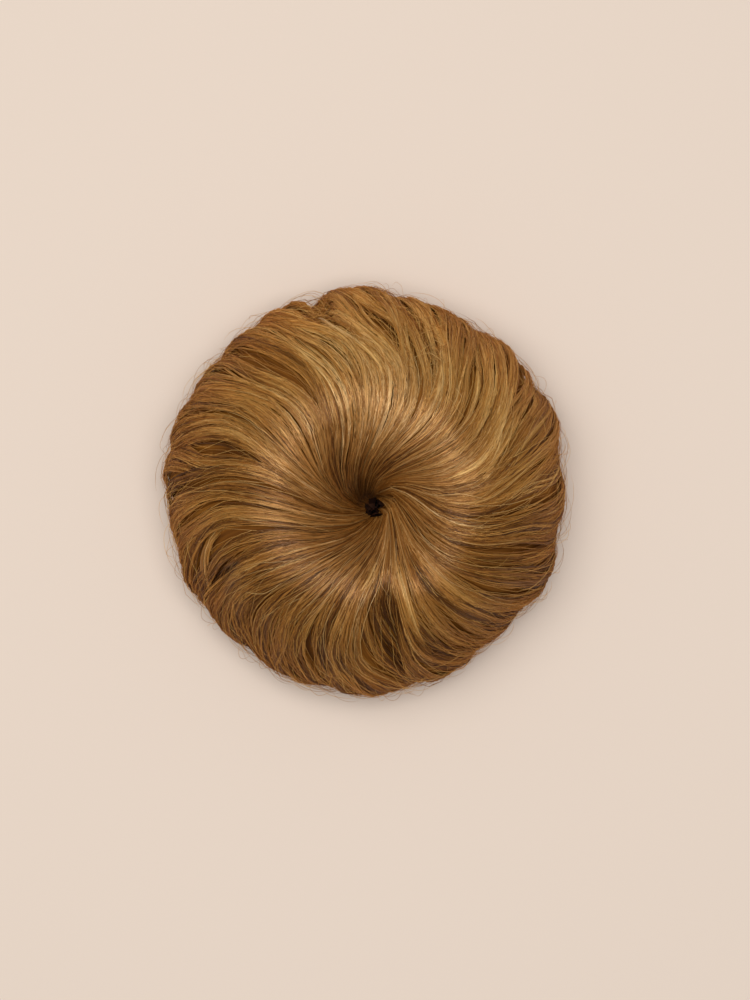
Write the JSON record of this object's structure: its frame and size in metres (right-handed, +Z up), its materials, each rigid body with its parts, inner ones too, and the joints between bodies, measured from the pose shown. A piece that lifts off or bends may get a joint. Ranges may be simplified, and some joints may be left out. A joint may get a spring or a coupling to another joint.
{
  "type": "top knot hairpiece",
  "caption": "Round bun-shaped hairpiece of whorled locks on a hollow cap with a comb, worn over a knot of the wearer's own hair.",
  "frame": {"origin": "middle of the outline's box, on the surface that the rim rests on", "axes": "+Z up, out of the whorl on top; the comb is at the -Y side of the cap's mouth"},
  "size_m": [0.1302, 0.1332, 0.0543],
  "materials": {
    "hair": "glossy golden brown hair",
    "cap_net": "matt brown net",
    "comb_plastic": "smooth brown plastic"
  },
  "bodies": {
    "root": {"hair_dome": "hair", "base_cap": "cap_net", "clip_comb": "comb_plastic"}
  },
  "joints": []
}
